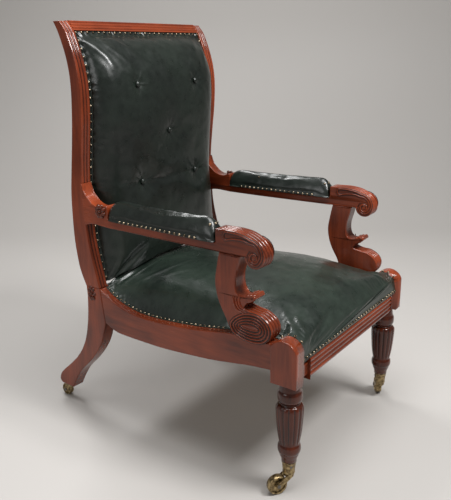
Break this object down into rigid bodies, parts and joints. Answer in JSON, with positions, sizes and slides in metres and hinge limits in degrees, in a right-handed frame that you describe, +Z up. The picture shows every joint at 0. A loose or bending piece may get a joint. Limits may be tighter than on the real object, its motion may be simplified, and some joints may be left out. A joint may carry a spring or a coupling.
{
  "type": "library armchair",
  "caption": "Library armchair with a tufted leather back, crowned seat, scrolled arms with pads, turned front legs, sabre rear legs and swivelling brass casters.",
  "frame": {"origin": "centre of the overall box on the floor", "axes": "+Z up, -Y out of the chair's front, +X to the sitter's left"},
  "size_m": [0.6532, 0.8694, 1.117],
  "materials": {
    "mahogany": "french polished",
    "plain_wood": "unfinished",
    "leather": "waxed, semi-gloss",
    "canvas": "woven",
    "brass": "aged, polished by wear",
    "iron": "dull"
  },
  "bodies": {
    "frame": {"post_left": "mahogany", "post_right": "mahogany", "crest_rail": "mahogany", "back_rail_lower": "mahogany", "seat_rail_left": "mahogany", "seat_rail_right": "mahogany", "seat_rail_front": "mahogany", "seat_rail_back": "mahogany", "front_leg_left": "mahogany", "front_leg_right": "mahogany", "rear_leg_left": "mahogany", "rear_leg_right": "mahogany", "arm_left": "mahogany", "arm_right": "mahogany", "arm_support_left": "mahogany", "arm_support_right": "mahogany", "arm_rosettes": "mahogany", "leg_rosettes": "mahogany", "arm_dowels": "plain_wood", "corner_braces": "plain_wood", "brace_screws": "iron", "seat_battens": "plain_wood", "seat_webbing": "canvas", "seat_hessian": "canvas", "seat_stuffing": "canvas", "seat_cushion": "leather", "seat_nails": "brass", "back_webbing": "canvas", "back_hessian": "canvas", "back_pad": "leather", "back_buttons": "leather", "back_nails": "brass", "back_cover": "leather", "back_cover_nails": "brass", "arm_pad_left": "leather", "arm_pad_right": "leather", "arm_nails": "brass", "arm_strap": "iron", "arm_strap_screws": "iron", "caster_cup_left": "brass", "caster_cup_right": "brass", "caster_plate_left": "brass", "caster_plate_right": "brass", "caster_screws": "iron"},
    "front_left_swivel_fork": {"fork_front_left": "brass", "axle_front_left": "iron"},
    "front_right_swivel_fork": {"fork_front_right": "brass", "axle_front_right": "iron"},
    "rear_left_swivel_fork": {"fork_rear_left": "brass", "axle_rear_left": "iron"},
    "rear_right_swivel_fork": {"fork_rear_right": "brass", "axle_rear_right": "iron"},
    "front_left_rolling_wheel": {"wheel_front_left": "brass"},
    "front_right_rolling_wheel": {"wheel_front_right": "brass"},
    "rear_left_rolling_wheel": {"wheel_rear_left": "brass"},
    "rear_right_rolling_wheel": {"wheel_rear_right": "brass"}
  },
  "joints": [
    {"name": "front_left_swivel", "type": "hinge", "parent": "frame", "child": "front_left_swivel_fork", "pos_m": [0.275, -0.39969, 0.0505], "axis": [0, 0, 1], "continuous": true},
    {"name": "front_left_roll", "type": "hinge", "parent": "front_left_swivel_fork", "child": "front_left_rolling_wheel", "pos_m": [0.30214, -0.38273, 0.025], "axis": [-0.5299, 0.848, 0], "continuous": true},
    {"name": "front_right_swivel", "type": "hinge", "parent": "frame", "child": "front_right_swivel_fork", "pos_m": [-0.275, -0.39969, 0.0505], "axis": [0, 0, 1], "continuous": true},
    {"name": "front_right_roll", "type": "hinge", "parent": "front_right_swivel_fork", "child": "front_right_rolling_wheel", "pos_m": [-0.30214, -0.38273, 0.025], "axis": [-0.5299, -0.848, 0], "continuous": true},
    {"name": "rear_left_swivel", "type": "hinge", "parent": "frame", "child": "rear_left_swivel_fork", "pos_m": [0.26484, 0.39169, 0.044], "axis": [0, 0, 1], "continuous": true},
    {"name": "rear_left_roll", "type": "hinge", "parent": "rear_left_swivel_fork", "child": "rear_left_rolling_wheel", "pos_m": [0.26484, 0.41569, 0.019], "axis": [-1, 0, 0], "continuous": true},
    {"name": "rear_right_swivel", "type": "hinge", "parent": "frame", "child": "rear_right_swivel_fork", "pos_m": [-0.26484, 0.39169, 0.044], "axis": [0, 0, 1], "continuous": true},
    {"name": "rear_right_roll", "type": "hinge", "parent": "rear_right_swivel_fork", "child": "rear_right_rolling_wheel", "pos_m": [-0.26484, 0.41569, 0.019], "axis": [-1, 0, 0], "continuous": true}
  ]
}
